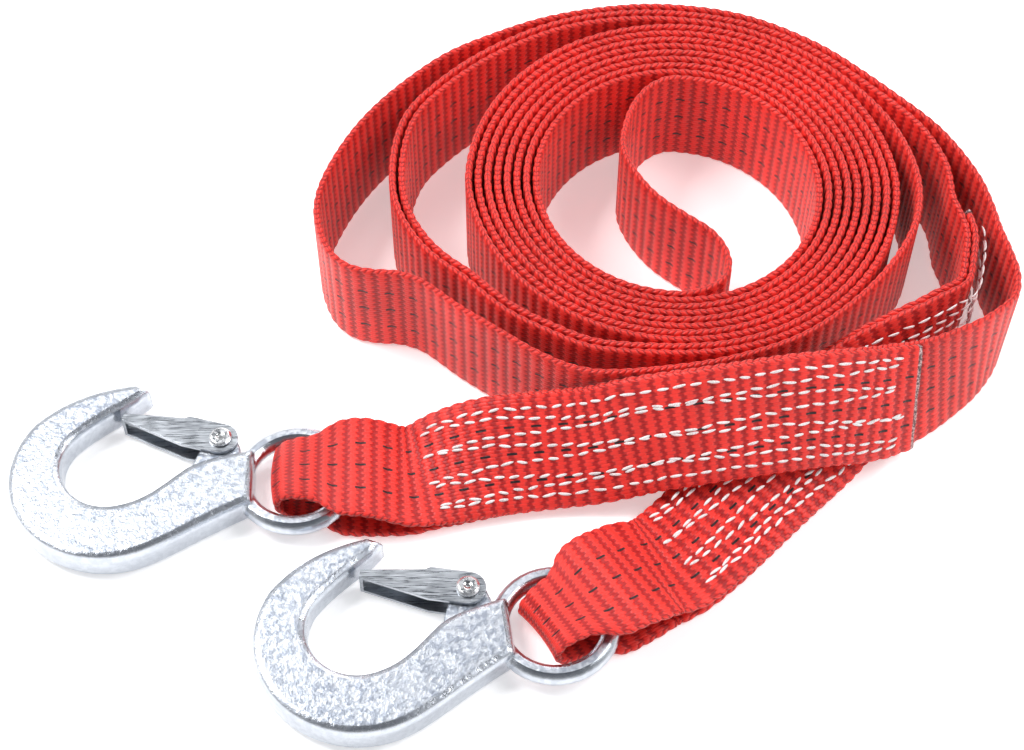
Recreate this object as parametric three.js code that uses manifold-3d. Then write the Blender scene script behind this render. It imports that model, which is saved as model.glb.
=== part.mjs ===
// A recovery tow strap: one length of webbing, wound on edge from its middle into a double coil.
// Each end is sewn back on itself as a loop that holds a forged hook with a sprung latch.
// Millimetres, Z up, floor at Z = 0.
import * as THREE from 'three';
import { mergeVertices } from 'three/addons/utils/BufferGeometryUtils.js';
import Module from 'manifold-3d';

const wasm = await Module();
wasm.setup();

// Webbing
const webWidth = 40;
const webThickness = 2.4;
const layerGap = 0.3;
const coilStep = 9;
const lapStep = 4;

// Double coil: both arms run outward and clockwise from the S at its middle
const coilCentre = new THREE.Vector2(58, 56);
const coilBore = 96.6;
const turnGap = 1.0;
const coilOval = 3;
const frontSqueeze = 0.18;
const windStep = 10;

// Sewn laps, measured back from the middle of each hook's ring
const lapLength = 208;
const loopReach = 46;
const loopWidth = 22;
const loopSlack = 2.4;
const lapLift = 0.2;
const endSpan = 243;

// Seam thread on the upper face of each lap
const threadThickness = 0.6;
const threadGap = 0.5;
const seamPasses = 5;
const seamSpread = 30;

// Hooks, each lying flat with the middle of its ring at its own origin and its bend towards -X
const hookThickness = 12;
const hookBevel = 2.4;
const ringRadius = 17.75;
const ringWire = 6.5;
const bendCentre = new THREE.Vector2(-60.8, 0.4);
const bendRadius = 34;
const throatCentre = new THREE.Vector2(-61.2, 3.7);
const throatRadius = 16.6;

// Latch, its lug and its rivet
const pivot = new THREE.Vector2(-26, 14.3);
const latchAngle = 165.2;
const latchLength = 35;
const latchSheet = 1.2;
const latchHeel = 5.8;
const latchTip = 1.3;
const lugThickness = 6;
const rivetRadius = 2.3;
const rivetHead = 3.8;
const rivetHeadHeight = 1.1;
const runningGap = 0.3;

const steel = new THREE.MeshStandardMaterial({ color: 0xb9c3cc, roughness: 0.35, metalness: 1 });
const sheetSteel = new THREE.MeshStandardMaterial({ color: 0x8d949c, roughness: 0.4, metalness: 1 });
const redWeb = new THREE.MeshStandardMaterial({ color: 0xd81e26, roughness: 0.8, metalness: 0 });
const whiteThread = new THREE.MeshStandardMaterial({ color: 0xf2eeee, roughness: 0.7, metalness: 0 });

const radians = THREE.MathUtils.degToRad;
const up = new THREE.Vector3(0, 0, 1);

// A station is a point of the webbing's lower edge, with the slope and the size of its width.
function station(x, y, tilt = 90, lift = 0, width = webWidth) {
  const z = lift + (tilt < 90 ? lapLift + (webThickness / 2) * Math.cos(radians(tilt)) : 0);
  return { point: new THREE.Vector3(x, y, z), tilt, width };
}

// A wound turn: the angle is measured clockwise from the top, and each half turn adds one pitch.
function woundStation(angle, firstCrossing, bulge = 0) {
  const pitch = webThickness + turnGap;
  const squeeze = 1 - frontSqueeze * Math.max(0, -Math.cos(radians(angle)));
  const turns = (angle - firstCrossing) / 180;
  const radius = (coilBore + webThickness) / 2 + pitch * squeeze * turns + bulge;
  const x = coilCentre.x + radius * Math.sin(radians(angle));
  const y = coilCentre.y + (radius + coilOval) * Math.cos(radians(angle));
  return station(x, y);
}

function tightTurns(from, to, firstCrossing) {
  const stations = [];
  for (let angle = from; angle <= to; angle += windStep) stations.push(woundStation(angle, firstCrossing));
  return stations;
}

function looseTurns(list, firstCrossing) {
  return list.map(([angle, bulge]) => woundStation(angle, firstCrossing, bulge));
}

// The S at the middle of the strap, from the top of the bore to its foot
const sBend = [
  [50.5, 102.6], [44.3, 93.5], [40.9, 83], [39.6, 73], [43, 61], [50.8, 48.5], [61, 39],
  [68.8, 32], [72.6, 25], [73.6, 18.5], [71.9, 12.2], [66.5, 7.6],
];

// How far the loose turns stand off a tight winding, as angle and distance
const pairBulge = [
  [1620, 0], [1644, 3.8], [1655, 4.6], [1666, 6.5], [1675, 7.7], [1681, 9], [1686, 12],
  [1692, 15.3], [1700, 18.4], [1707, 19.8], [1718, 20.6], [1728, 20.5], [1736, 17.6],
  [1751, 11.8], [1770, 6.7], [1785, 3.2], [1800, 0.8], [1820, 0],
];
const innerArmEnd = [[1835, 0], [1847, 0.4], [1860, 2.8], [1874, 9], [1886, 12.3], [1894, 12.7]];
const outerArmEnd = [
  [1840, 0], [1860, 1.4], [1875, 3.4], [1890, 4.5], [1903, 4.2], [1917, 1.8], [1932, 0], [1950, 0],
  [1968, 0.6], [1984, 3.4], [2002, 10.5], [2012, 11.4], [2024, 11.6], [2034, 14.4], [2044, 19.4],
  [2047.2, 25], [2049, 32], [2051.4, 38.6], [2055, 42.6], [2062, 44], [2068, 42], [2078, 35.5],
  [2089, 28.3], [2106, 18.5], [2116, 12.6], [2130, 7], [2146, 2.6], [2160, 0.8], [2180, 0],
  [2200, 0], [2212, 1], [2224, 4.6], [2236, 11.6], [2250, 19.4], [2261, 26],
];

// The laps, from the coil to the hook: lower edge x and y, slope of the width, lift off the floor
const farLap = [
  [170.8, 13], [167.6, 2.5], [160.5, -8.5, 84], [150.5, -18.5, 77], [141, -27, 70, 1],
  [131.5, -34, 63, 3.5], [121, -39.5, 60, 6.5], [109, -43.8, 58, 9.8], [95, -47.3, 56, 11.4],
  [78, -50, 56, 11], [62, -52.4, 56, 10.2], [45, -53.6, 55, 7.2], [28, -54.8, 52, 2],
  [12, -56.4, 45], [-3, -59.4, 31], [-15, -62.4, 17], [-24, -64.6, 8],
];
const nearLap = [
  [156.4, 34], [154.5, 22], [150, 10], [142.8, -2.5, 78], [134.5, -16.5, 60], [123.6, -32, 40],
  [112, -46.8, 22], [99, -60, 12], [86, -73.4, 5], [73.5, -86, 1], [61.5, -96.8, 0],
];

// Where each hook's ring lies, and the way its loop leaves it
const farHook = { name: 'far', x: -71.5, y: -48.6, turn: 0, loopTurn: 2.5 };
const nearHook = { name: 'near', x: 13.5, y: -103.5, turn: 6.3, loopTurn: 34 };

// The loop through a ring, as distance from the ring's middle, height of the webbing and width
const barTop = ringCentreHeight() + ringWire / 2 + layerGap + webThickness / 2 + loopSlack;
const foldRadius = (barTop - webThickness / 2) / 2;
const foldMiddle = webThickness / 2 + foldRadius;
const loopRun = [
  [40, webWidth], [31, webWidth], [23, webWidth - 0.5], [14, webWidth - 3], [6, loopWidth + 4],
];

function ringCentreHeight() {
  return webThickness + layerGap + 0.4 + ringWire / 2;
}

// The unit vector across the webbing at a station, whose lower edge runs along the given way
function widthVector(way, tilt) {
  const side = new THREE.Vector3(way.y, -way.x, 0).normalize();
  return side.multiplyScalar(Math.cos(radians(tilt))).addScaledVector(up, Math.sin(radians(tilt)));
}

// Sections of one arm, from the coil's middle outwards, at even steps along its lower edge
function armSections(stations) {
  const path = new THREE.CatmullRomCurve3(stations.map((s) => s.point), false, 'centripetal');
  const sections = [];
  stations.slice(1).forEach((next, i) => {
    const last = stations[i];
    const step = next.tilt < 90 ? lapStep : coilStep;
    const pieces = Math.max(1, Math.round(last.point.distanceTo(next.point) / step));
    for (let k = 0; k < pieces; k += 1) {
      const share = k / pieces;
      const along = (i + share) / (stations.length - 1);
      const tilt = THREE.MathUtils.lerp(last.tilt, next.tilt, share);
      const width = THREE.MathUtils.lerp(last.width, next.width, share);
      sections.push(sectionAt(path.getPoint(along), path.getTangent(along), tilt, width));
    }
  });
  return sections;
}

function sectionAt(edge, way, tilt, width) {
  const across = widthVector(way, tilt);
  return { middle: edge.clone().addScaledVector(across, width / 2), across, width };
}

// The normal of the webbing at one of its sections, from the way its middle line runs there
function normalAt(sections, i) {
  const before = sections[Math.max(0, i - 1)].middle;
  const after = sections[Math.min(sections.length - 1, i + 1)].middle;
  const way = new THREE.Vector3().subVectors(after, before);
  return new THREE.Vector3().crossVectors(way, sections[i].across).normalize();
}

// The loop round a ring: out under the bar, up through the ring and back over the bar
function loopSections(hook) {
  const out = new THREE.Vector3(Math.cos(radians(hook.loopTurn)), Math.sin(radians(hook.loopTurn)), 0);
  const across = new THREE.Vector3(-out.y, out.x, 0);
  const at = (distance, height, width) => ({
    middle: new THREE.Vector3(hook.x, hook.y, height).addScaledVector(out, distance), across, width,
  });
  const low = loopRun.map(([distance, width]) => at(distance, webThickness / 2, width));
  const fold = [];
  for (let angle = -90; angle <= 90; angle += 22.5) {
    const reach = foldRadius * Math.cos(radians(angle));
    const width = loopWidth + 2 * (angle / 90) ** 2;
    fold.push(at(-reach, foldMiddle + foldRadius * Math.sin(radians(angle)), width));
  }
  const high = loopRun.toReversed().map(([distance, width]) => {
    const drop = THREE.MathUtils.smoothstep(distance, 20, loopReach);
    return at(distance, THREE.MathUtils.lerp(barTop, 1.5 * webThickness + layerGap, drop), width);
  });
  return [...low, ...fold, ...high];
}

// The upper layer of a lap lies on the arm's own last stretch, from the ring to its cut end
function upperLayer(arm, hook) {
  const ring = new THREE.Vector3(hook.x, hook.y, 0);
  const layer = [];
  for (let i = arm.length - 1; i >= 0; i -= 1) {
    const s = arm[i];
    if (s.middle.distanceTo(ring) > lapLength) break;
    const face = normalAt(arm, i).negate();
    layer.push({ ...s, middle: s.middle.clone().addScaledVector(face, webThickness + layerGap), face });
  }
  return layer;
}

// The last stretch of an arm, from past its lap's cut end to the ring
function endStart(arm, hook) {
  const ring = new THREE.Vector3(hook.x, hook.y, 0);
  return arm.findLastIndex((s) => s.middle.distanceTo(ring) > endSpan);
}

// A closed solid of rectangular section through a list of sections
function sweep(sections, thickness) {
  const points = [];
  const faces = [];
  sections.forEach((s, i) => {
    const normal = (s.normal ?? normalAt(sections, i)).clone().multiplyScalar(thickness / 2);
    for (const [a, b] of [[-1, -1], [1, -1], [1, 1], [-1, 1]]) {
      points.push(s.middle.clone().addScaledVector(s.across, a * s.width / 2).addScaledVector(normal, b));
    }
    const base = i * 4;
    if (i === 0) faces.push([0, 2, 1], [0, 3, 2]);
    if (i === sections.length - 1) {
      faces.push([base, base + 1, base + 2], [base, base + 2, base + 3]);
      return;
    }
    for (let k = 0; k < 4; k += 1) {
      const next = (k + 1) % 4;
      faces.push([base + k, base + next, base + next + 4], [base + k, base + next + 4, base + k + 4]);
    }
  });
  const geometry = new THREE.BufferGeometry().setFromPoints(points);
  geometry.setIndex(faces.flat());
  return geometry;
}

function makeWebbing() {
  const toStation = (list) => list.map((values) => station(...values));
  const sStations = toStation(sBend);
  const outerStart = [...sStations, ...tightTurns(180, 1610, 270)];
  const outerArm = armSections([
    ...outerStart, ...looseTurns([...pairBulge, ...outerArmEnd], 270), ...toStation(farLap),
  ]);
  const innerArm = armSections([
    sStations[0], ...tightTurns(0, 1610, 90), ...looseTurns([...pairBulge, ...innerArmEnd], 90),
    ...toStation(nearLap),
  ]).slice(1);
  const farTop = upperLayer(outerArm, farHook);
  const nearTop = upperLayer(innerArm, nearHook);
  const farStart = endStart(outerArm, farHook);
  const nearStart = endStart(innerArm, nearHook);
  const all = [
    ...farTop.toReversed(), ...loopSections(farHook).toReversed(), ...outerArm.toReversed(),
    ...innerArm, ...loopSections(nearHook), ...nearTop,
  ];
  const whole = all.map((s, i) => ({ ...s, normal: normalAt(all, i) }));
  const loopCount = loopSections(farHook).length;
  const farCut = farTop.length + loopCount + outerArm.length - farStart;
  const nearCut = farTop.length + loopCount + outerArm.length + nearStart;
  return {
    farEnd: whole.slice(0, farCut), middle: whole.slice(farCut - 1, nearCut + 1),
    nearEnd: whole.slice(nearCut), farTop, nearTop,
  };
}

// One continuous white thread that runs up and down the lap, turning back at either end
function makeSeam(layer) {
  const offset = webThickness / 2 + threadGap + threadThickness / 2;
  const turn = seamSpread / seamPasses / 2;
  const line = layer.slice(1, -2).map((s) => ({
    middle: s.middle.clone().addScaledVector(s.face, offset), across: s.across, face: s.face,
  }));
  const points = [];
  for (let pass = 0; pass < seamPasses; pass += 1) {
    const run = pass % 2 ? line.toReversed() : line;
    const place = (pass + 0.5) * 2 * turn - seamSpread / 2;
    for (const s of run) {
      points.push({ middle: s.middle.clone().addScaledVector(s.across, place), face: s.face });
    }
    if (pass === seamPasses - 1) break;
    const last = run.at(-1);
    const way = new THREE.Vector3().subVectors(last.middle, run.at(-2).middle).normalize();
    for (const angle of [-60, -30, 0, 30, 60]) {
      const middle = last.middle.clone().addScaledVector(way, turn * Math.cos(radians(angle)));
      middle.addScaledVector(last.across, place + turn + turn * Math.sin(radians(angle)));
      points.push({ middle, face: last.face });
    }
  }
  const sections = points.map((s, i) => {
    const before = points[Math.max(0, i - 1)].middle;
    const after = points[Math.min(points.length - 1, i + 1)].middle;
    const way = new THREE.Vector3().subVectors(after, before);
    const across = new THREE.Vector3().crossVectors(s.face, way).normalize();
    return { middle: s.middle, across, width: threadThickness };
  });
  return sweep(sections, threadThickness);
}

function toManifold(geometry) {
  const bare = geometry.clone();
  bare.deleteAttribute('normal');
  bare.deleteAttribute('uv');
  const merged = mergeVertices(bare, 1e-3);
  return new wasm.Manifold(new wasm.Mesh({
    numProp: 3,
    vertProperties: merged.attributes.position.array,
    triVerts: new Uint32Array(merged.index.array),
  }));
}

function fromManifold(solid) {
  const mesh = solid.getMesh();
  const geometry = new THREE.BufferGeometry();
  geometry.setAttribute('position', new THREE.BufferAttribute(mesh.vertProperties, 3));
  geometry.setIndex(new THREE.BufferAttribute(mesh.triVerts, 1));
  geometry.computeVertexNormals();
  return geometry;
}

// The same outline as plain points, without the doubles where its curves meet
function plainShape(outline) {
  const points = outline.getPoints(14);
  const kept = points.filter((p, i) => p.distanceTo(points[(i + 1) % points.length]) > 0.02);
  return new THREE.Shape(kept);
}

function plate(shape, low, high) {
  const settings = { depth: high - low, bevelEnabled: false };
  return new THREE.ExtrudeGeometry(plainShape(shape), settings).translate(0, 0, low);
}

function disc(x, y, radius, low, high) {
  const shape = new THREE.Shape().absarc(x, y, radius, 0, 2 * Math.PI, false);
  return plate(shape, low, high);
}

// The flat top of the hook, from its nose round the throat to the neck at the ring: the rounded edge
// stands outside it by the bevel.
function hookOutline() {
  const outer = bendRadius - hookBevel;
  const inner = throatRadius + hookBevel;
  const tip = new THREE.Vector2(Math.cos(radians(latchAngle)), Math.sin(radians(latchAngle)));
  tip.multiplyScalar(latchLength).add(pivot);
  const outline = new THREE.Shape();
  outline.moveTo(tip.x + 4.8, tip.y + 9.8);
  outline.lineTo(tip.x + 3, tip.y + 10.4);
  outline.bezierCurveTo(tip.x - 8.7, tip.y + 8.4, tip.x - 18.2, tip.y + 4.8,
    bendCentre.x + outer * Math.cos(radians(146)), bendCentre.y + outer * Math.sin(radians(146)));
  outline.absarc(bendCentre.x, bendCentre.y, outer, radians(146), radians(296), false);
  outline.bezierCurveTo(-39.5, -24.5, -30, -17, -16, -9.6);
  outline.lineTo(-16.5, 6.6);
  outline.bezierCurveTo(-23, 5, -29, 4, -34.5, 0.4);
  outline.bezierCurveTo(-40, -4, -46, -12, throatCentre.x + inner * Math.cos(radians(-72)),
    throatCentre.y + inner * Math.sin(radians(-72)));
  outline.absarc(throatCentre.x, throatCentre.y, inner, radians(-72), radians(-218), true);
  outline.bezierCurveTo(tip.x - 10.2, tip.y - 0.7, tip.x - 3.2, tip.y + 3.8, tip.x + 4.8, tip.y + 9.8);
  return outline;
}

function makeHookBody() {
  const settings = {
    depth: hookThickness - 2 * hookBevel, bevelEnabled: true, bevelThickness: hookBevel,
    bevelSize: hookBevel, bevelSegments: 2,
  };
  const bent = new THREE.ExtrudeGeometry(plainShape(hookOutline()), settings).translate(0, 0, hookBevel);
  const wire = [];
  for (let i = 0; i <= 10; i += 1) {
    const angle = (i / 10) * 2 * Math.PI;
    const x = ringRadius + (ringWire / 2) * Math.cos(angle);
    wire.push(new THREE.Vector2(x, (ringWire / 2) * Math.sin(angle)));
  }
  const ring = new THREE.LatheGeometry(wire, 40).rotateX(Math.PI / 2);
  ring.translate(0, 0, ringCentreHeight());
  const low = (hookThickness - lugThickness) / 2;
  const lugShape = new THREE.Shape();
  lugShape.moveTo(pivot.x - 8.6, pivot.y - 16);
  lugShape.lineTo(pivot.x + 9, pivot.y - 12);
  lugShape.lineTo(pivot.x + 5, pivot.y + 2);
  lugShape.absarc(pivot.x, pivot.y, latchHeel - 1, radians(15), radians(180), false);
  lugShape.lineTo(pivot.x - 8.6, pivot.y - 9.5);
  const lug = plate(lugShape, low, hookThickness - low);
  const bore = disc(pivot.x, pivot.y, rivetRadius + runningGap, -1, hookThickness + 1);
  const solid = toManifold(bent).add(toManifold(ring)).add(toManifold(lug)).subtract(toManifold(bore));
  return fromManifold(solid);
}

// The latch as folded sheet: two cheeks either side of the lug, joined by a web along the mouth side
function makeLatch() {
  const cheekLow = (hookThickness - lugThickness) / 2 - runningGap - latchSheet;
  const cheekHigh = hookThickness - cheekLow;
  const side = new THREE.Shape();
  side.moveTo(0, -latchHeel);
  side.absarc(0, 0, latchHeel, radians(-90), radians(90), false);
  side.lineTo(-13, latchHeel);
  side.lineTo(-14.5, latchHeel - 1.1);
  side.lineTo(-latchLength, latchTip);
  side.lineTo(-latchLength, -latchTip);
  side.lineTo(-12, -latchHeel);
  const pocket = new THREE.Shape();
  pocket.moveTo(latchHeel + 1, -latchHeel - 1);
  pocket.lineTo(latchHeel + 1, latchHeel + 1);
  pocket.lineTo(-7.4, latchHeel + 1);
  pocket.lineTo(-7.4, latchHeel - latchSheet);
  pocket.lineTo(-13.2, latchHeel - latchSheet);
  pocket.lineTo(-14.8, latchHeel - 1.1 - latchSheet);
  pocket.lineTo(-latchLength + latchSheet, latchTip - latchSheet);
  pocket.lineTo(-latchLength + latchSheet, -latchHeel - 1);
  const solid = toManifold(plate(side, cheekLow, cheekHigh))
    .subtract(toManifold(plate(pocket, cheekLow + latchSheet, cheekHigh - latchSheet)))
    .subtract(toManifold(disc(0, 0, rivetRadius + runningGap, -1, hookThickness + 1)));
  return fromManifold(solid);
}

function makeRivet() {
  const cheekHigh = (hookThickness + lugThickness) / 2 + runningGap + latchSheet;
  const under = cheekHigh + runningGap - hookThickness / 2;
  const top = under + rivetHeadHeight;
  const profile = [
    [0, -top], [rivetHead - 0.8, -top], [rivetHead, -top + 0.6], [rivetHead, -under],
    [rivetRadius, -under], [rivetRadius, under], [rivetHead, under], [rivetHead, top - 0.6],
    [rivetHead - 0.8, top], [0, top],
  ].map(([x, y]) => new THREE.Vector2(x, y));
  return new THREE.LatheGeometry(profile, 20).rotateX(Math.PI / 2).translate(0, 0, hookThickness / 2);
}

function makeHook(hook) {
  const group = new THREE.Group();
  group.position.set(hook.x, hook.y, 0);
  group.rotation.z = radians(hook.turn);
  const body = new THREE.Mesh(makeHookBody(), steel);
  body.name = `${hook.name}_hook`;
  const latch = new THREE.Mesh(makeLatch(), sheetSteel);
  latch.name = `${hook.name}_latch`;
  latch.position.set(pivot.x, pivot.y, 0);
  latch.rotation.z = radians(latchAngle - 180);
  const rivet = new THREE.Mesh(makeRivet(), steel);
  rivet.name = `${hook.name}_rivet`;
  rivet.position.set(pivot.x, pivot.y, 0);
  group.add(body, latch, rivet);
  return group;
}

const strap = makeWebbing();
const coil = new THREE.Mesh(sweep(strap.middle, webThickness), redWeb);
coil.name = 'webbing_coil';
const farEnd = new THREE.Mesh(sweep(strap.farEnd, webThickness), redWeb);
farEnd.name = 'webbing_far_end';
const nearEnd = new THREE.Mesh(sweep(strap.nearEnd, webThickness), redWeb);
nearEnd.name = 'webbing_near_end';
const farSeam = new THREE.Mesh(makeSeam(strap.farTop), whiteThread);
farSeam.name = 'far_seam_thread';
const nearSeam = new THREE.Mesh(makeSeam(strap.nearTop), whiteThread);
nearSeam.name = 'near_seam_thread';

const towStrap = new THREE.Group();
towStrap.add(coil, farEnd, nearEnd, farSeam, nearSeam, makeHook(farHook), makeHook(nearHook));

// The whole is centred over the origin
towStrap.updateMatrixWorld(true);
const box = new THREE.Box3().setFromObject(towStrap, true);
const centre = box.getCenter(new THREE.Vector3());
towStrap.position.set(-centre.x, -centre.y, 0);

export default towStrap;
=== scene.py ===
# Looks of a tow strap: one long red webbing, coiled as it lies, with a forged snap hook sewn in at each end.
# Lengths are in millimetres where a dictionary says so, and are turned to metres when a mesh is made.
import math
import random

import bmesh
import bpy
import numpy as np
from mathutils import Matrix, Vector


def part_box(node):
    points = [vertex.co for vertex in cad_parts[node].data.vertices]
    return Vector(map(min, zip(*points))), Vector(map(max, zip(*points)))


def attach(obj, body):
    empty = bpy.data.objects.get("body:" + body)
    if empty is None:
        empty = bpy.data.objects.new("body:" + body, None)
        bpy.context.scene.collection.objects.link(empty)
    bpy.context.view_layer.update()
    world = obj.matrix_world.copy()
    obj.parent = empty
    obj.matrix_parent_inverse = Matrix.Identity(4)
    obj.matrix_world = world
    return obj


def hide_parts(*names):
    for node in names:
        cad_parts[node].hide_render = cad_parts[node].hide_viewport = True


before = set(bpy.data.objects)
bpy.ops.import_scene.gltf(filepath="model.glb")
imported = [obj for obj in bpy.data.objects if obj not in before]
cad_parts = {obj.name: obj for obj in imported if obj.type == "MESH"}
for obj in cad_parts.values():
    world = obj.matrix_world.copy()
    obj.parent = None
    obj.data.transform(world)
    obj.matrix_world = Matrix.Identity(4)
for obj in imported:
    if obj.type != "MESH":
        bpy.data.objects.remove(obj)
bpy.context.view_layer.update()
mm = 0.001
scene = bpy.context.scene
print("frame loaded")

# Camera

cameraLook = {
    "place": (-0.00285, -0.41527, 0.54946),  # metres, above and in front of the strap
    "tilt": 37.0,  # degrees up from looking straight down
    "lens": 69.26,
}


def makeCamera(look):
    data = bpy.data.cameras.new("camera")
    data.lens = look["lens"]
    data.sensor_width = 36.0
    data.clip_start = 0.01
    camera = bpy.data.objects.new("camera", data)
    camera.location = look["place"]
    camera.rotation_euler = (math.radians(look["tilt"]), 0, 0)
    scene.collection.objects.link(camera)
    scene.camera = camera


makeCamera(cameraLook)

# Route of the webbing, in millimetres, the same one that the solid follows

strap = {
    "width": 40.0,
    "thickness": 2.4,
    "layerGap": 0.3,
    "ribPitch": 4.5,  # one rib across the webbing
    "ribDepth": 0.34,
    "scallop": 0.45,  # how far each rib stands out at the edges
    "sectionsPerRib": 3,
    "curl": 2.6,  # how far the gathered webbing arches where it goes through a ring
    "crease": 14.0,  # length over which the far lap eases into its loop
}
coil = {
    "centre": (58.0, 56.0),
    "bore": 96.6,
    "turnGap": 1.0,
    "oval": 3.0,
    "frontSqueeze": 0.18,
    "step": 9.0,
    "windStep": 10,
    "tightEnd": 1610,
}
lap = {"length": 208.0, "reach": 46.0, "loopWidth": 22.0, "slack": 2.4, "lift": 0.2, "step": 4.0}
ring = {"radius": 17.75, "wire": 6.5, "rise": 0.4}
origin = (-2.85, -1.22)  # from the drawing's own origin to the model's
hooks = {
    "far": {"x": -71.5, "y": -48.6, "loopTurn": 2.5},
    "near": {"x": 13.5, "y": -103.5, "loopTurn": 34.0},
}
sBend = [
    (50.5, 102.6), (44.3, 93.5), (40.9, 83), (39.6, 73), (43, 61), (50.8, 48.5),
    (61, 39), (68.8, 32), (72.6, 25), (73.6, 18.5), (71.9, 12.2), (66.5, 7.6),
]
pairBulge = [
    (1620, 0), (1644, 3.8), (1655, 4.6), (1666, 6.5), (1675, 7.7), (1681, 9), (1686, 12),
    (1692, 15.3), (1700, 18.4), (1707, 19.8), (1718, 20.6), (1728, 20.5), (1736, 17.6),
    (1751, 11.8), (1770, 6.7), (1785, 3.2), (1800, 0.8), (1820, 0),
]
innerArmEnd = [(1835, 0), (1847, 0.4), (1860, 2.8), (1874, 9), (1886, 12.3), (1894, 12.7)]
outerArmEnd = [
    (1840, 0), (1860, 1.4), (1875, 3.4), (1890, 4.5), (1903, 4.2), (1917, 1.8), (1932, 0),
    (1950, 0), (1968, 0.6), (1984, 3.4), (2002, 10.5), (2012, 11.4), (2024, 11.6), (2034, 14.4),
    (2044, 19.4), (2047.2, 25), (2049, 32), (2051.4, 38.6), (2055, 42.6), (2062, 44), (2068, 42),
    (2078, 35.5), (2089, 28.3), (2106, 18.5), (2116, 12.6), (2130, 7), (2146, 2.6), (2160, 0.8),
    (2180, 0), (2200, 0), (2212, 1), (2224, 4.6), (2236, 11.6), (2250, 19.4), (2261, 26),
]
# x, y, tilt of the webbing from flat, lift of its lower edge
farLap = [
    (170.8, 13), (167.6, 2.5), (160.5, -8.5, 84), (150.5, -18.5, 77), (141, -27, 70, 1),
    (131.5, -34, 63, 3.5), (121, -39.5, 60, 6.5), (109, -43.8, 58, 9.8), (95, -47.3, 56, 11.4),
    (78, -50, 56, 11), (62, -52.4, 56, 10.2), (45, -53.6, 55, 7.2), (28, -54.8, 52, 2),
    (12, -56.4, 45), (-3, -59.4, 31), (-15, -62.4, 17), (-24, -64.6, 8),
]
nearLap = [
    (156.4, 34), (154.5, 22), (150, 10), (142.8, -2.5, 78), (134.5, -16.5, 60), (123.6, -32, 40),
    (112, -46.8, 22), (99, -60, 12), (86, -73.4, 5), (73.5, -86, 1), (61.5, -96.8, 0),
]


# A point of the webbing's lower edge, and how the webbing leans there.
def station(x, y, tilt=90, lift=0.0):
    low = lap["lift"] + strap["thickness"] / 2 * math.cos(math.radians(tilt)) if tilt < 90 else 0
    return {"point": Vector((x, y, lift + low)), "tilt": tilt}


def woundStation(angle, firstCrossing, bulge=0.0):
    pitch = strap["thickness"] + coil["turnGap"]
    turn = math.radians(angle)
    squeeze = 1 - coil["frontSqueeze"] * max(0, -math.cos(turn))
    firstRadius = (coil["bore"] + strap["thickness"]) / 2
    radius = firstRadius + pitch * squeeze * (angle - firstCrossing) / 180 + bulge
    x = coil["centre"][0] + radius * math.sin(turn)
    y = coil["centre"][1] + (radius + coil["oval"]) * math.cos(turn)
    return station(x, y)


def tightTurns(start, firstCrossing):
    return [woundStation(a, firstCrossing) for a in range(start, coil["tightEnd"] + 1, coil["windStep"])]


def looseTurns(rows, firstCrossing):
    return [woundStation(a, firstCrossing, bulge) for a, bulge in rows]


# A point of the centripetal curve through the stations, between points i and i + 1.
def curvePoint(points, i, t):
    p1 = points[i]
    p2 = points[i + 1]
    p0 = points[i - 1] if i > 0 else p1 * 2 - p2
    p3 = points[i + 2] if i + 2 < len(points) else p2 * 2 - p1
    d0 = max((p1 - p0).length_squared ** 0.25, 1e-4)
    d1 = max((p2 - p1).length_squared ** 0.25, 1e-4)
    d2 = max((p3 - p2).length_squared ** 0.25, 1e-4)
    t1 = ((p1 - p0) / d0 - (p2 - p0) / (d0 + d1) + (p2 - p1) / d1) * d1
    t2 = ((p2 - p1) / d1 - (p3 - p1) / (d1 + d2) + (p3 - p2) / d2) * d1
    return p1 + t1 * t + (p2 * 3 - p1 * 3 - t1 * 2 - t2) * t * t + (p1 * 2 - p2 * 2 + t1 + t2) * t ** 3


# Cross sections along one arm: the webbing's middle, its direction across, and its width.
def armSections(stations):
    points = [s["point"] for s in stations]
    sections = []
    for i in range(len(points) - 1):
        step = lap["step"] if stations[i + 1]["tilt"] < 90 else coil["step"]
        pieces = max(1, round((points[i + 1] - points[i]).length / step))
        last = i == len(points) - 2
        for k in range(pieces + (1 if last else 0)):
            t = k / pieces
            edge = curvePoint(points, i, t)
            ahead = curvePoint(points, i, min(1, t + 0.01)) - curvePoint(points, i, max(0, t - 0.01))
            tilt = math.radians(stations[i]["tilt"] * (1 - t) + stations[i + 1]["tilt"] * t)
            flat = Vector((ahead.y, -ahead.x, 0)).normalized()
            across = flat * math.cos(tilt) + Vector((0, 0, 1)) * math.sin(tilt)
            sections.append((edge + across * strap["width"] / 2, across, strap["width"]))
    return sections


def barTop():
    ringMiddle = strap["thickness"] + strap["layerGap"] + ring["rise"] + ring["wire"] / 2
    return ringMiddle + ring["wire"] / 2 + strap["layerGap"] + strap["thickness"] / 2 + lap["slack"]


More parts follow.
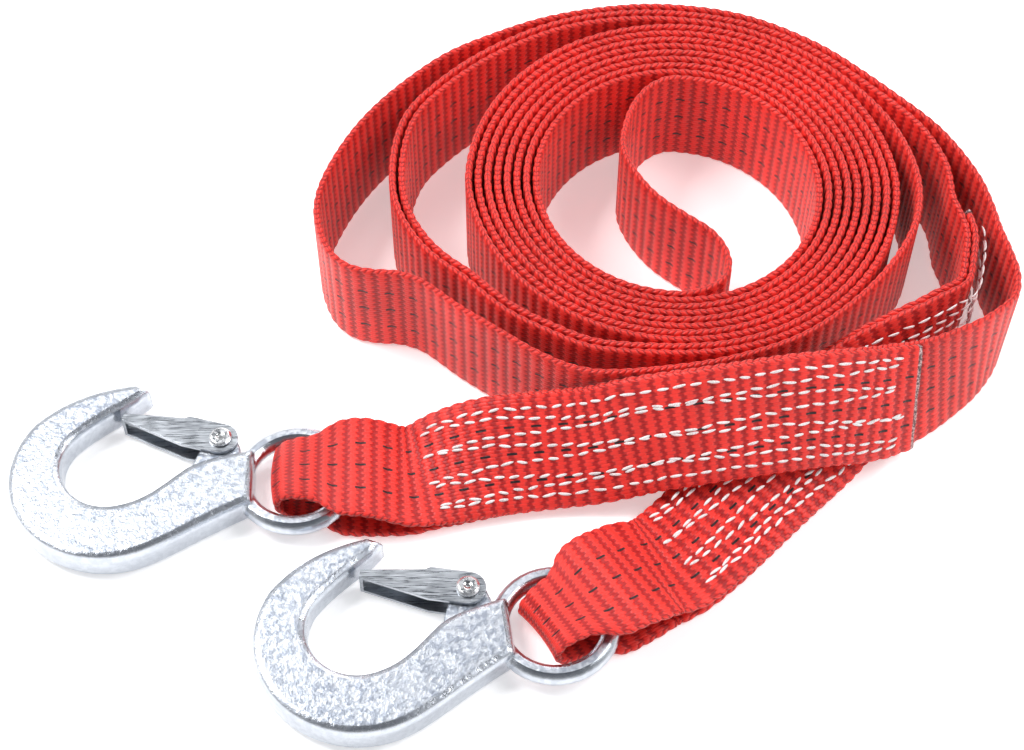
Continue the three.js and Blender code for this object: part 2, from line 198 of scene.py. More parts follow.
# The webbing under the ring, round it, and back over it.
def loopSections(hook):
    turn = math.radians(hook["loopTurn"])
    out = Vector((math.cos(turn), math.sin(turn), 0))
    across = Vector((-out.y, out.x, 0))
    middle = Vector((hook["x"], hook["y"], 0))
    thick = strap["thickness"]
    full = strap["width"]
    runs = [(40, full), (31, full), (23, full - 0.5), (14, full - 3), (6, lap["loopWidth"] + 4)]
    foldRadius = (barTop() - thick / 2) / 2
    rows = [(distance, thick / 2, width) for distance, width in runs]
    for angle in np.arange(-90, 90.1, 22.5):
        a = math.radians(angle)
        width = lap["loopWidth"] + 2 * (angle / 90) ** 2
        rows.append((-foldRadius * math.cos(a), thick / 2 + foldRadius + foldRadius * math.sin(a), width))
    for distance, width in reversed(runs):
        ease = min(1, max(0, (distance - 20) / (lap["reach"] - 20)))
        ease = ease * ease * (3 - 2 * ease)
        rows.append((distance, barTop() * (1 - ease) + (1.5 * thick + strap["layerGap"]) * ease, width))
    return [(middle + out * d + Vector((0, 0, z)), across, width) for d, z, width in rows]


# The lap's upper layer, which lies on the last of the arm.
def upperLayer(arm, hook):
    centre = Vector((hook["x"], hook["y"], 0))
    sections = []
    i = len(arm) - 1
    while i > 0 and (arm[i][0] - centre).length <= lap["length"]:
        way = arm[min(i + 1, len(arm) - 1)][0] - arm[i - 1][0]
        face = -way.cross(arm[i][1]).normalized()
        sections.append((arm[i][0] + face * (strap["thickness"] + strap["layerGap"]), arm[i][1], arm[i][2]))
        i -= 1
    return sections


def strapSections():
    bend = [station(x, y) for x, y in sBend]
    outer = bend + tightTurns(180, 270) + looseTurns(pairBulge + outerArmEnd, 270)
    outer += [station(*row) for row in farLap]
    inner = bend[:1] + tightTurns(0, 90) + looseTurns(pairBulge + innerArmEnd, 90)
    inner += [station(*row) for row in nearLap]
    outerArm = armSections(outer)
    innerArm = armSections(inner)
    farTop = upperLayer(outerArm, hooks["far"])
    nearTop = upperLayer(innerArm, hooks["near"])
    farLoop = loopSections(hooks["far"])
    # an arm's sections point across one way all along, and a loop's are turned to match them
    nearLoop = loopSections(hooks["near"])
    sections = farTop[::-1] + farLoop[::-1] + outerArm[::-1] + innerArm[1:] + nearLoop + nearTop
    print("sections of the route:", len(sections))
    return sections


# Webbing mesh


# Even steps along a smooth curve through the sections: middles, directions across, widths, distances.
def resample(sections, spacing):
    middle = np.array([s[0] for s in sections])
    across = np.array([s[1] for s in sections])
    width = np.array([s[2] for s in sections], dtype=float)
    gaps = np.linalg.norm(np.diff(middle, axis=0), axis=1)
    keep = np.concatenate([[True], gaps > 0.05])
    values = np.column_stack([middle, across, width])[keep]
    at = np.concatenate([[0], np.cumsum(np.linalg.norm(np.diff(values[:, :3], axis=0), axis=1))])
    count = int(round(at[-1] / spacing))
    places = np.linspace(0, at[-1], count + 1)
    # slopes by the neighbours, then one cubic for each span
    slope = np.gradient(values, at, axis=0)
    i = np.clip(np.searchsorted(at, places, side="right") - 1, 0, len(at) - 2)
    h = (at[i + 1] - at[i])[:, None]
    t = ((places - at[i]) / (at[i + 1] - at[i]))[:, None]
    made = (
        values[i] * (2 * t ** 3 - 3 * t ** 2 + 1)
        + slope[i] * h * (t ** 3 - 2 * t ** 2 + t)
        + values[i + 1] * (3 * t ** 2 - 2 * t ** 3)
        + slope[i + 1] * h * (t ** 3 - t ** 2)
    )
    return made, places


# The rows averaged with their neighbours, reach rows each way; the ends stay where they are.
def blurred(values, reach):
    weights = np.exp(-np.linspace(-2, 2, 2 * reach + 1) ** 2)
    weights /= weights.sum()
    padded = np.concatenate([values[:1]] * reach + [values] + [values[-1:]] * reach)
    columns = [np.convolve(padded[:, k], weights, mode="valid") for k in range(values.shape[1])]
    return np.stack(columns, axis=1)


def unit(rows):
    return rows / np.linalg.norm(rows, axis=1)[:, None]


# The strap's centre line with its directions, in even steps of a third of a rib.
def strapLine():
    sections = strapSections()
    rows, places = resample(sections, strap["ribPitch"] / strap["sectionsPerRib"])
    spacing = places[1]
    soft = blurred(rows, 2)
    wide = blurred(rows, int(strap["crease"] / spacing))
    joints = creaseDistances(rows, places)
    near = np.zeros(len(rows))
    for place in joints:
        near = np.maximum(near, np.exp(-((places - place) / (strap["crease"] * 1.4)) ** 4))
    rows = soft * (1 - near[:, None]) + wide * near[:, None]
    rows[:, 2] = np.maximum(rows[:, 2], strap["thickness"] / 2 + 0.02)
    middle = rows[:, :3]
    way = unit(np.gradient(middle, axis=0))
    across = unit(rows[:, 3:6])
    across = unit(across - way * np.sum(across * way, axis=1)[:, None])
    face = np.cross(across, way)
    return {
        "middle": middle, "way": way, "across": across, "face": face,
        "width": rows[:, 6], "places": places, "length": places[-1],
    }


# Where the laps meet their loops: 40 mm from a ring, along the strap.
def creaseDistances(rows, places):
    found = []
    for name, half in (("far", places < 600), ("near", places > places[-1] - 600)):
        hook = hooks[name]
        away = np.hypot(rows[:, 0] - hook["x"], rows[:, 1] - hook["y"])
        away = np.where(half, away, 1e6)
        ringRow = int(np.argmin(away))
        for direction in (-1, 1):
            k = ringRow
            while 0 < k < len(places) - 1 and away[k] < 44:
                k += direction
            found.append(places[k])
    return found


# points round the section, as shares of the width and of the thickness
faceShares = [-0.47, -0.36, -0.24, -0.12, 0.0, 0.12, 0.24, 0.36, 0.47]
around = (
    [(u, 1.0) for u in faceShares]
    + [(0.492, 0.62), (0.5, 0.0), (0.492, -0.62)]
    + [(-u, -1.0) for u in faceShares]
    + [(-0.492, -0.62), (-0.5, 0.0), (-0.492, 0.62)]
)


def makeWebbing(line):
    count = len(line["places"])
    bm = bmesh.new()
    bmesh.ops.create_grid(bm, x_segments=len(around), y_segments=count - 1, size=0.5)
    mesh = bpy.data.meshes.new("webbing_cloth")
    bm.to_mesh(mesh)
    bm.free()
    flat = np.empty(len(mesh.vertices) * 3)
    mesh.vertices.foreach_get("co", flat)
    flat = flat.reshape(-1, 3)
    column = np.rint((flat[:, 0] + 0.5) * len(around)).astype(int)
    row = np.rint((flat[:, 1] + 0.5) * (count - 1)).astype(int)
    shares = np.array(around + around[:1])
    u = shares[column, 0]
    w = shares[column, 1]
    # each rib stands up on both faces, with a groove every third section
    phase = row % strap["sectionsPerRib"]
    groove = np.where(phase == 0, 1.0, 0.0)
    onFace = np.abs(w) > 0.9
    half = strap["thickness"] / 2 - np.where(onFace, groove * strap["ribDepth"], 0)
    edge = np.abs(u) > 0.48
    width = line["width"][row] - np.where(edge, groove * 2 * strap["scallop"], 0)
    gathered = 1 - line["width"][row] / strap["width"]
    arch = gathered * strap["curl"] * (1 - (2 * u) ** 2) * line["outside"][row]
    # a heat-sealed cut is never quite straight
    jag = np.zeros(len(u))
    fray = np.array([random.uniform(-0.7, 0.7) for _ in range(40)])
    ends = (row == 0) | (row == count - 1)
    jag[ends] = fray[((u[ends] + 0.5) * 39).astype(int)]
    place = (
        line["middle"][row]
        + line["across"][row] * (u * width)[:, None]
        + line["face"][row] * (w * half + arch)[:, None]
        + line["way"][row] * jag[:, None]
    )
    place[:, 0] += origin[0]
    place[:, 1] += origin[1]
    place[:, 2] = np.maximum(place[:, 2], 0.05)
    mesh.vertices.foreach_set("co", (place * mm).ravel())
    # the pattern's own coordinates, in metres: along and over the cloth, then through it and the edge's mask
    corner = np.empty(len(mesh.loops), dtype=int)
    mesh.loops.foreach_get("vertex_index", corner)
    cloth = mesh.uv_layers.new(name="cloth")
    along = line["places"][row] * mm
    over = (u + 0.5) * strap["width"] * mm
    cloth.data.foreach_set("uv", np.column_stack([along, over])[corner].ravel())
    selvedge = mesh.uv_layers.new(name="selvedge")
    through = w * strap["thickness"] / 2 * mm
    selvedge.data.foreach_set("uv", np.column_stack([through, edge.astype(float)])[corner].ravel())
    bm = bmesh.new()
    bm.from_mesh(mesh)
    bmesh.ops.remove_doubles(bm, verts=bm.verts, dist=1e-7)
    bmesh.ops.holes_fill(bm, edges=[e for e in bm.edges if e.is_boundary], sides=0)
    bmesh.ops.recalc_face_normals(bm, faces=bm.faces)
    for face in bm.faces:
        face.smooth = True
    bm.to_mesh(mesh)
    bm.free()
    piece = bpy.data.objects.new("webbing_cloth", mesh)
    scene.collection.objects.link(piece)
    return piece


random.seed(7)
line = strapLine()
# the outer side of the webbing at each ring, and so the side that a seam shows on
line["outside"] = np.zeros(len(line["places"]))
farSide = 1.0 if line["face"][20][2] > 0 else -1.0
nearSide = 1.0 if line["face"][-20][2] > 0 else -1.0
line["outside"][line["places"] < 600] = farSide
line["outside"][line["places"] > line["length"] - 600] = nearSide
webbing = makeWebbing(line)
print("webbing made:", len(webbing.data.polygons), "faces, length", round(line["length"]), "mm")

# Seams

seam = {
    "start": 7.0,  # from the cut end, mm
    "end": 168.0,
    "pitch": 5.2,
    "stitch": 4.3,
    "thick": 1.05,
    "stands": 0.34,  # above the ribs
    # each pass runs from one share of the width to another, so that the passes cross
    "passes": [
        (0.40, 0.37), (0.34, 0.12), (0.15, 0.33), (0.12, -0.12),
        (-0.14, 0.12), (-0.12, -0.34), (-0.33, -0.16), (-0.39, -0.36),
    ],
}


# A point on one face of the webbing: place in mm along it, share of the width, lift from its middle.
def surfacePoint(line, place, share, lift):
    step = line["places"][1]
    x = min(max(place / step, 0), len(line["places"]) - 1.001)
    k = int(x)
    t = x - k
    mix = lambda name: line[name][k] * (1 - t) + line[name][k + 1] * t
    return mix("middle") + mix("across") * (share * mix("width")) + mix("face") * lift


# Short stitches on both faces of a lap. fromEnd is 1 at the strap's start and -1 at its other end.
def makeSeam(name, line, fromEnd, side):
    bm = bmesh.new()
    base = 0 if fromEnd > 0 else line["length"]
    top = strap["thickness"] / 2
    under = -(strap["thickness"] * 1.5 + strap["layerGap"])
    for low, high in seam["passes"]:
        place = seam["start"] + random.uniform(0, seam["pitch"])
        while place < seam["end"]:
            share = low + (high - low) * (place - seam["start"]) / (seam["end"] - seam["start"])
            share += random.uniform(-0.006, 0.006)
            length = seam["stitch"] * random.uniform(0.85, 1.08)
            slant = random.uniform(-0.012, 0.012)
            for lift, stands in ((top, 1), (under, -1)):
                made = bmesh.ops.create_uvsphere(bm, u_segments=8, v_segments=6, radius=1.0)
                for vert in made["verts"]:
                    x, y, z = vert.co
                    # the ball's own axis lies along the webbing, and its ends dive into the cloth
                    dive = 1 - abs(z) ** 3
                    where = surfacePoint(
                        line,
                        base + fromEnd * (place + z * length / 2),
                        share + slant * z + y * seam["thick"] / 2 / strap["width"],
                        side * (lift + stands * (x * seam["thick"] * 0.32 + seam["stands"] * dive - 0.25)),
                    )
                    x, y = where[0] + origin[0], where[1] + origin[1]
                    vert.co = Vector((x, y, max(where[2], 0.05))) * mm
            place += seam["pitch"] * random.uniform(0.96, 1.04)
    bmesh.ops.recalc_face_normals(bm, faces=bm.faces)
    for face in bm.faces:
        face.smooth = True
    mesh = bpy.data.meshes.new(name)
    bm.to_mesh(mesh)
    bm.free()
    piece = bpy.data.objects.new(name, mesh)
    scene.collection.objects.link(piece)
    return piece


farSeam = makeSeam("far_seam_stitches", line, 1, farSide)
nearSeam = makeSeam("near_seam_stitches", line, -1, nearSide)
print("seams made:", len(farSeam.data.polygons) + len(nearSeam.data.polygons), "faces")

# Materials


def newMaterial(name):
    material = bpy.data.materials.new(name)
    material.use_nodes = True
    tree = material.node_tree
    return material, tree, tree.nodes["Principled BSDF"]


def newGroup(name, outputs):
    tree = bpy.data.node_groups.new(name, "ShaderNodeTree")
    for label, kind in outputs:
        tree.interface.new_socket(name=label, in_out="OUTPUT", socket_type=kind)
    return tree, tree.nodes.new("NodeGroupOutput")


# A maths node of one operation on numbers or sockets.
def calc(tree, operation, *values):
    made = tree.nodes.new("ShaderNodeMath")
    made.operation = operation
    for i, value in enumerate(values):
        if isinstance(value, (int, float)):
            made.inputs[i].default_value = value
        else:
            tree.links.new(value, made.inputs[i])
    return made.outputs[0]


def ramp(tree, value, low, high, outLow=0.0, outHigh=1.0):
    made = tree.nodes.new("ShaderNodeMapRange")
    made.interpolation_type = "SMOOTHSTEP"
    made.inputs["From Min"].default_value = low
    made.inputs["From Max"].default_value = high
    made.inputs["To Min"].default_value = outLow
    made.inputs["To Max"].default_value = outHigh
    tree.links.new(value, made.inputs["Value"])
    return made.outputs["Result"]


def blendColour(tree, share, first, second, mode="MIX"):
    made = tree.nodes.new("ShaderNodeMix")
    made.data_type = "RGBA"
    made.blend_type = mode
    for socket, value in ((made.inputs["Factor"], share), (made.inputs["A"], first), (made.inputs["B"], second)):
        if isinstance(value, (int, float)):
            socket.default_value = value
        elif isinstance(value, tuple):
            socket.default_value = (*value, 1)
        else:
            tree.links.new(value, socket)
    return made.outputs["Result"]


# first where share is 0 and second where it is 1.
def blendValue(tree, share, first, second):
    rest = calc(tree, "SUBTRACT", 1.0, share)
    return calc(tree, "ADD", calc(tree, "MULTIPLY", second, share), calc(tree, "MULTIPLY", first, rest))


def noise(tree, vector, scale, detail=2.0, roughness=0.5):
    made = tree.nodes.new("ShaderNodeTexNoise")
    made.inputs["Scale"].default_value = scale
    made.inputs["Detail"].default_value = detail
    made.inputs["Roughness"].default_value = roughness
    if vector is not None:
        tree.links.new(vector, made.inputs["Vector"])
    return made.outputs["Fac"]


def objectPlace(tree):
    return tree.nodes.new("ShaderNodeTexCoord").outputs["Object"]


def scaled(tree, vector, factors):
    made = tree.nodes.new("ShaderNodeMapping")
    made.inputs["Scale"].default_value = factors
    tree.links.new(vector, made.inputs["Vector"])
    return made.outputs["Vector"]


def bump(tree, height, distance, strength, normal=None):
    made = tree.nodes.new("ShaderNodeBump")
    made.inputs["Strength"].default_value = strength
    made.inputs["Distance"].default_value = distance
    tree.links.new(height, made.inputs["Height"])
    if normal is not None:
        tree.links.new(normal, made.inputs["Normal"])
    return made.outputs["Normal"]


weave = {
    "ribPitch": 0.0045,  # metres, as the mesh's own ribs
    "yarnPitch": 0.00115,  # one warp yarn over the width
    "toothed": 0.16,  # how far every other yarn runs on over a rib, as a share of a rib
    "chainPitch": 0.00225,  # slanting yarns along the edges
    "chainSlant": 0.9,
    "tracers": (0.27, 0.50, 0.72),  # rows of black dashes, as shares of the width
    "tracerPitch": 0.0090,
    "tracerWide": 0.00040,
    "width": 0.040,
    "length": line["length"] * mm,
    "sealed": 0.0018,  # the melted rim of a cut end
}


# The webbing's pattern: height, black dash, sealed end and fibres, each from 0 to 1. The height gives both the
# relief and the painted shade in the cloth's colour.
def weavePattern(look):
    labels = ("Height", "Tracer", "Sealed", "Fibre")
    tree, out = newGroup("webbing_weave", [(label, "NodeSocketFloat") for label in labels])
    place = tree.nodes.new("ShaderNodeUVMap")
    place.uv_map = "cloth"
    split = tree.nodes.new("ShaderNodeSeparateXYZ")
    tree.links.new(place.outputs[0], split.inputs[0])
    along, over = split.outputs[0], split.outputs[1]
    second = tree.nodes.new("ShaderNodeUVMap")
    second.uv_map = "selvedge"
    splitSecond = tree.nodes.new("ShaderNodeSeparateXYZ")
    tree.links.new(second.outputs[0], splitSecond.inputs[0])
    through, edge = splitSecond.outputs[0], splitSecond.outputs[1]
    # warp yarns, every other one shifted a little along the cloth
    yarn = calc(tree, "DIVIDE", over, look["yarnPitch"])
    odd = calc(tree, "MULTIPLY", calc(tree, "MODULO", calc(tree, "FLOOR", yarn), 2.0), look["toothed"])
    drift = calc(tree, "SUBTRACT", noise(tree, place.outputs[0], 260.0, 1.0), 0.5)
    wobble = calc(tree, "MULTIPLY", drift, 0.12)
    ribCount = calc(tree, "DIVIDE", along, look["ribPitch"])
    ribPhase = calc(tree, "ADD", calc(tree, "ADD", ribCount, odd), wobble)
    ribTurn = calc(tree, "MULTIPLY", calc(tree, "SUBTRACT", ribPhase, look["toothed"] / 2), 2 * math.pi)
    rib = calc(tree, "ADD", calc(tree, "MULTIPLY", calc(tree, "COSINE", ribTurn), -0.5), 0.5)
    rib = ramp(tree, rib, 0.05, 0.75)
    yarnRound = calc(tree, "ABSOLUTE", calc(tree, "SINE", calc(tree, "MULTIPLY", yarn, math.pi)))
    yarnRound = calc(tree, "POWER", yarnRound, 0.5)
    fibre = noise(tree, scaled(tree, place.outputs[0], (260.0, 5200.0, 1.0)), 1.0, 3.0, 0.6)
    # the face's height also sets its colour, so the grooves between ribs and the gaps between yarns are painted
    # shade as well as relief; the fibre noise in it is the yarn's own tone
    faceHeight = calc(tree, "ADD", calc(tree, "MULTIPLY", rib, 0.62), calc(tree, "MULTIPLY", yarnRound, 0.22))
    faceHeight = calc(tree, "ADD", faceHeight, calc(tree, "MULTIPLY", fibre, 0.16))
    # edges: a chain of yarns that slant away from the middle of the thickness; the low middle and the gaps
    # between the yarns also come out darker in colour, which is painted shade
    lean = calc(tree, "MULTIPLY", calc(tree, "ABSOLUTE", through), look["chainSlant"])
    uneven = calc(tree, "MULTIPLY", wobble, 0.003)
    chainPlace = calc(tree, "ADD", calc(tree, "ADD", along, lean), uneven)
    chainPhase = calc(tree, "DIVIDE", chainPlace, look["chainPitch"])
    chain = calc(tree, "ABSOLUTE", calc(tree, "SINE", calc(tree, "MULTIPLY", chainPhase, math.pi)))
    spine = ramp(tree, calc(tree, "ABSOLUTE", through), 0.0, 0.00028, 0.35, 1.0)
    chain = calc(tree, "MULTIPLY", calc(tree, "POWER", chain, 0.7), spine)
    height = blendValue(tree, edge, faceHeight, chain)
    # black tracer yarns, which show as dashes
    nearest = None
    for share in look["tracers"]:
        away = calc(tree, "ABSOLUTE", calc(tree, "SUBTRACT", over, share * look["width"]))
        nearest = away if nearest is None else calc(tree, "MINIMUM", nearest, away)
    onRow = ramp(tree, nearest, look["tracerWide"] * 0.8, look["tracerWide"] * 1.15, 1.0, 0.0)
    dashTurn = calc(tree, "FRACT", calc(tree, "DIVIDE", along, look["tracerPitch"]))
    dash = ramp(tree, calc(tree, "ABSOLUTE", calc(tree, "SUBTRACT", dashTurn, 0.5)), 0.17, 0.21, 1.0, 0.0)
    tracer = calc(tree, "MULTIPLY", calc(tree, "MULTIPLY", onRow, dash), calc(tree, "SUBTRACT", 1.0, edge))
    fromEnd = calc(tree, "MINIMUM", along, calc(tree, "SUBTRACT", look["length"], along))
    sealed = ramp(tree, fromEnd, look["sealed"] * 0.6, look["sealed"], 1.0, 0.0)
    for label, socket in zip(labels, (height, tracer, sealed, fibre)):
        tree.links.new(socket, out.inputs[label])
    return tree


redCloth = {
    "high": (0.90, 0.035, 0.024),  # tops of the ribs
    "low": (0.40, 0.003, 0.005),  # grooves between them, darker: painted shade in the grooves
    "tracer": (0.006, 0.004, 0.006),
    "sealed": (0.62, 0.42, 0.42),
    "roughness": 0.44,
    "sheen": 0.35,
    "relief": 0.00055,
}


def clothMaterial(look, pattern):
    material, tree, shader = newMaterial("red_webbing")
    weaveNode = tree.nodes.new("ShaderNodeGroup")
    weaveNode.node_tree = pattern
    w = weaveNode.outputs
    # painted shade: the colour follows the weave's height, darker red in the grooves, between the yarns and
    # along the edge chain's middle
    tone = ramp(tree, w["Height"], 0.12, 0.85)
    colour = blendColour(tree, tone, look["low"], look["high"])
    patch = ramp(tree, noise(tree, objectPlace(tree), 38.0, 3.0), 0.3, 0.7, 0.86, 1.06)
    colour = blendColour(tree, 1.0, colour, patch, "MULTIPLY")
    threadNoise = ramp(tree, w["Fibre"], 0.35, 0.7, 0.82, 1.12)
    colour = blendColour(tree, 0.7, colour, threadNoise, "MULTIPLY")
    colour = blendColour(tree, w["Tracer"], colour, look["tracer"])
    speck = ramp(tree, noise(tree, objectPlace(tree), 1400.0, 1.0), 0.46, 0.56)
    sealColour = blendColour(tree, speck, look["tracer"], look["sealed"])
    colour = blendColour(tree, w["Sealed"], colour, sealColour)
    tree.links.new(colour, shader.inputs["Base Color"])
    rough = calc(tree, "ADD", calc(tree, "MULTIPLY", w["Fibre"], 0.16), look["roughness"] - 0.06)
    tree.links.new(rough, shader.inputs["Roughness"])
    shader.inputs["Sheen Weight"].default_value = look["sheen"]
    shader.inputs["Sheen Roughness"].default_value = 0.35
    shader.inputs["Sheen Tint"].default_value = (1.0, 0.45, 0.40, 1)
    shader.inputs["Specular IOR Level"].default_value = 0.42
    tree.links.new(bump(tree, w["Height"], look["relief"], 0.85), shader.inputs["Normal"])
    return material


stitchLook = {"light": (0.90, 0.87, 0.86), "dark": (0.62, 0.52, 0.52), "roughness": 0.55, "twist": 0.00018}


def threadMaterial(look):
    material, tree, shader = newMaterial("white_thread")
    place = objectPlace(tree)
    strand = noise(tree, place, 2600.0, 2.0)
    patch = noise(tree, place, 160.0, 2.0)
    both = calc(tree, "ADD", calc(tree, "MULTIPLY", strand, 0.6), calc(tree, "MULTIPLY", patch, 0.4))
    tone = ramp(tree, both, 0.32, 0.6)
    tree.links.new(blendColour(tree, tone, look["dark"], look["light"]), shader.inputs["Base Color"])
    shader.inputs["Roughness"].default_value = look["roughness"]
    shader.inputs["Sheen Weight"].default_value = 0.2
    tree.links.new(bump(tree, strand, look["twist"], 0.6), shader.inputs["Normal"])
    return material


zincLook = {
    "clean": (0.58, 0.61, 0.66),
    "dull": (0.27, 0.30, 0.36),
    "smooth": 0.16,  # roughness of the rounded rims
    "rough": 0.36,  # roughness of the flat forged tops
    "grain": 1150.0,
    "relief": 0.00055,
    "soften": 0.0016,  # radius that rounds the mesh's own edges
}


# The forged and zinc plated surface: how dull it is, and its fine relief.
def forgedSurface(look):
    labels = ("Dull", "Relief", "Top")
    tree, out = newGroup("forged_zinc", [(label, "NodeSocketFloat") for label in labels])
    place = objectPlace(tree)
    shape = tree.nodes.new("ShaderNodeNewGeometry")
    split = tree.nodes.new("ShaderNodeSeparateXYZ")
    tree.links.new(shape.outputs["True Normal"], split.inputs[0])
    top = ramp(tree, calc(tree, "ABSOLUTE", split.outputs[2]), 0.86, 0.985)
    fine = noise(tree, place, look["grain"], 3.0, 0.62)
    pits = noise(tree, place, look["grain"] * 0.42, 2.0, 0.55)
    dents = noise(tree, place, 105.0, 2.0)
    cloud = noise(tree, place, 60.0, 4.0, 0.6)
    relief = calc(tree, "ADD", calc(tree, "MULTIPLY", fine, 0.45), calc(tree, "MULTIPLY", pits, 0.55))
    relief = blendValue(tree, top, calc(tree, "MULTIPLY", relief, 0.16), relief)
    relief = calc(tree, "ADD", relief, calc(tree, "MULTIPLY", dents, 0.9))
    dull = calc(tree, "MULTIPLY", ramp(tree, pits, 0.38, 0.62), ramp(tree, cloud, 0.25, 0.75, 0.55, 1.0))
    tree.links.new(dull, out.inputs["Dull"])
    tree.links.new(relief, out.inputs["Relief"])
    tree.links.new(top, out.inputs["Top"])
    return tree


def zincMaterial(look, surface):
    material, tree, shader = newMaterial("forged_zinc_hook")
    forged = tree.nodes.new("ShaderNodeGroup")
    forged.node_tree = surface
    f = forged.outputs
    share = calc(tree, "MULTIPLY", f["Dull"], ramp(tree, f["Top"], 0.0, 1.0, 0.25, 1.0))
    tree.links.new(blendColour(tree, share, look["clean"], look["dull"]), shader.inputs["Base Color"])
    shader.inputs["Metallic"].default_value = 1.0
    byPlace = blendValue(tree, f["Top"], look["smooth"], look["rough"])
    rough = calc(tree, "ADD", byPlace, calc(tree, "MULTIPLY", f["Dull"], 0.06))
    tree.links.new(rough, shader.inputs["Roughness"])
    rounded = tree.nodes.new("ShaderNodeBevel")
    rounded.samples = 6
    rounded.inputs["Radius"].default_value = look["soften"]
    tree.links.new(bump(tree, f["Relief"], look["relief"], 0.7, rounded.outputs[0]), shader.inputs["Normal"])
    return material


latchLook = {"light": (0.56, 0.59, 0.63), "dark": (0.30, 0.32, 0.35), "roughness": 0.30}


# Pressed sheet, brushed across in two directions.
def latchMaterial(look):
    material, tree, shader = newMaterial("brushed_latch")
    place = objectPlace(tree)
    first = noise(tree, scaled(tree, place, (140.0, 2600.0, 2600.0)), 1.0, 3.0, 0.65)
    turned = tree.nodes.new("ShaderNodeMapping")
    turned.inputs["Rotation"].default_value = (0, 0, math.radians(58))
    turned.inputs["Scale"].default_value = (170.0, 2400.0, 2400.0)
    tree.links.new(place, turned.inputs["Vector"])
    second = noise(tree, turned.outputs[0], 1.0, 2.0, 0.6)
    scratch = calc(tree, "ADD", calc(tree, "MULTIPLY", first, 0.6), calc(tree, "MULTIPLY", second, 0.4))
    cloud = noise(tree, place, 120.0, 2.0)
    both = calc(tree, "ADD", calc(tree, "MULTIPLY", scratch, 0.6), calc(tree, "MULTIPLY", cloud, 0.4))
    tone = ramp(tree, both, 0.36, 0.64)
    tree.links.new(blendColour(tree, tone, look["dark"], look["light"]), shader.inputs["Base Color"])
    shader.inputs["Metallic"].default_value = 1.0
    rough = ramp(tree, scratch, 0.3, 0.7, look["roughness"] - 0.08, look["roughness"] + 0.14)
    tree.links.new(rough, shader.inputs["Roughness"])
    rounded = tree.nodes.new("ShaderNodeBevel")
    rounded.samples = 4
    rounded.inputs["Radius"].default_value = 0.0004
    tree.links.new(bump(tree, scratch, 0.00006, 0.5, rounded.outputs[0]), shader.inputs["Normal"])
    return material


rivetLook = {"colour": (0.80, 0.81, 0.83), "roughness": 0.24, "dimple": 0.0016}


# A rivet's turned head with a small dimple in its middle; its colour darkens into the dimple, which is painted
# shade.
def rivetMaterial(name, look, centre):
    material, tree, shader = newMaterial(name)
    place = objectPlace(tree)
    away = tree.nodes.new("ShaderNodeVectorMath")
    away.operation = "DISTANCE"
    flat = tree.nodes.new("ShaderNodeVectorMath")
    flat.operation = "MULTIPLY"
    flat.inputs[1].default_value = (1, 1, 0)
    tree.links.new(place, flat.inputs[0])
    tree.links.new(flat.outputs[0], away.inputs[0])
    away.inputs[1].default_value = (centre[0], centre[1], 0)
    radius = away.outputs["Value"]
    dish = ramp(tree, radius, look["dimple"] * 0.35, look["dimple"])
    marks = noise(tree, place, 900.0, 3.0)
    height = calc(tree, "ADD", dish, calc(tree, "MULTIPLY", marks, 0.03))
    # painted shade: the head's colour darkens towards the middle of the dimple
    shade = ramp(tree, radius, look["dimple"] * 0.6, look["dimple"] * 1.2, 0.55, 1.0)
    tree.links.new(blendColour(tree, 1.0, look["colour"], shade, "MULTIPLY"), shader.inputs["Base Color"])
    shader.inputs["Metallic"].default_value = 1.0
    rough = ramp(tree, marks, 0.3, 0.7, look["roughness"] - 0.06, look["roughness"] + 0.1)
    tree.links.new(rough, shader.inputs["Roughness"])
    rounded = tree.nodes.new("ShaderNodeBevel")
    rounded.samples = 4
    rounded.inputs["Radius"].default_value = 0.0005
    tree.links.new(bump(tree, height, 0.0005, 0.8, rounded.outputs[0]), shader.inputs["Normal"])
    return material


def dress(piece, material):
    piece.data.materials.clear()
    piece.data.materials.append(material)


# A better material on a solid's own slots; its mesh is left as it is.
def dressNode(name, material):
    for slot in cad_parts[name].material_slots:
        slot.material = material


cloth = clothMaterial(redCloth, weavePattern(weave))
thread = threadMaterial(stitchLook)
dress(webbing, cloth)
dress(farSeam, thread)
dress(nearSeam, thread)
zinc = zincMaterial(zincLook, forgedSurface(zincLook))
latch = latchMaterial(latchLook)
for end in ("far", "near"):
    dressNode(end + "_hook", zinc)
    dressNode(end + "_latch", latch)
    low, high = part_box(end + "_rivet")
    middle = [(a + b) / 2 for a, b in zip(low, high)]
    dressNode(end + "_rivet", rivetMaterial(end + "_rivet_head", rivetLook, middle))
print("materials made")

# Bodies, and what each piece stands for

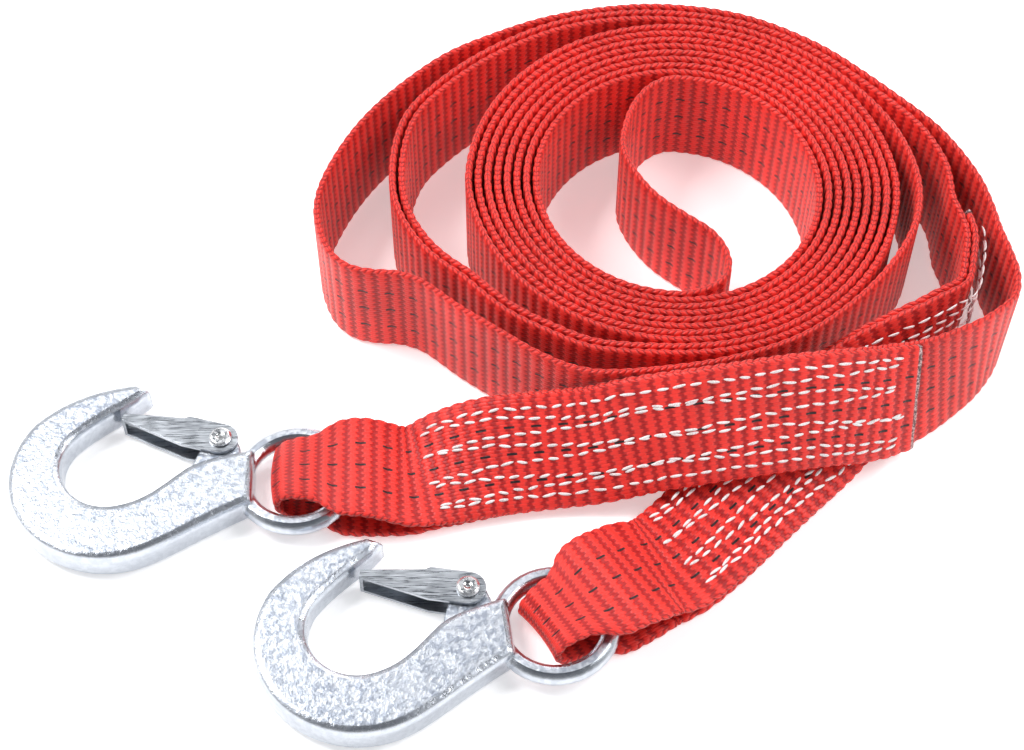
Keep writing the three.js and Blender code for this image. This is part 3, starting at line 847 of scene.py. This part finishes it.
for piece, stoodFor, slotName in (
    (webbing, ("webbing_coil", "webbing_far_end", "webbing_near_end"), "webbing"),
    (farSeam, ("far_seam_thread",), "thread"),
    (nearSeam, ("near_seam_thread",), "thread"),
):
    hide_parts(*stoodFor)
    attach(piece, "strap")

# Studio: a white floor, a bright surround and soft boxes

studio = {
    "floor": (0.93, 0.93, 0.935),
    "overhead": (0.16, 0.17, 0.19),
    "horizon": (1.0, 1.0, 1.0),
    "surroundStrength": 0.9,
    # place, size, power in watts
    "boxes": [
        ((-0.60, 0.20, 0.85), 0.45, 10.0),
        ((0.75, 0.05, 0.85), 0.55, 6.5),
        ((0.10, 0.90, 0.75), 0.50, 4.0),
    ],
}


def makeStudio(look):
    bm = bmesh.new()
    bmesh.ops.create_grid(bm, x_segments=1, y_segments=1, size=3.0)
    mesh = bpy.data.meshes.new("floor")
    bm.to_mesh(mesh)
    bm.free()
    floor = bpy.data.objects.new("floor", mesh)
    floor.location.z = -0.0002
    scene.collection.objects.link(floor)
    material, tree, shader = newMaterial("floor_white")
    shader.inputs["Base Color"].default_value = (*look["floor"], 1)
    shader.inputs["Roughness"].default_value = 0.9
    shader.inputs["Emission Color"].default_value = (1, 1, 1, 1)
    shader.inputs["Emission Strength"].default_value = 0.42
    mesh.materials.append(material)
    world = bpy.data.worlds.new("surround")
    scene.world = world
    world.use_nodes = True
    background = world.node_tree.nodes["Background"]
    sky = world.node_tree
    way = sky.nodes.new("ShaderNodeTexCoord").outputs["Generated"]
    split = sky.nodes.new("ShaderNodeSeparateXYZ")
    sky.links.new(way, split.inputs[0])
    height = ramp(sky, split.outputs[2], 0.15, 0.85)
    sky.links.new(blendColour(sky, height, look["horizon"], look["overhead"]), background.inputs["Color"])
    background.inputs["Strength"].default_value = look["surroundStrength"]
    for i, (place, size, power) in enumerate(look["boxes"]):
        data = bpy.data.lights.new(f"box_{i}", "AREA")
        data.size = size
        data.energy = power
        light = bpy.data.objects.new(f"box_{i}", data)
        light.location = place
        light.rotation_mode = "QUATERNION"
        light.rotation_quaternion = (Vector(place) - Vector((0, -0.05, 0))).to_track_quat("Z", "Y")
        scene.collection.objects.link(light)


makeStudio(studio)
scene.view_settings.view_transform = "Standard"

print("ready")
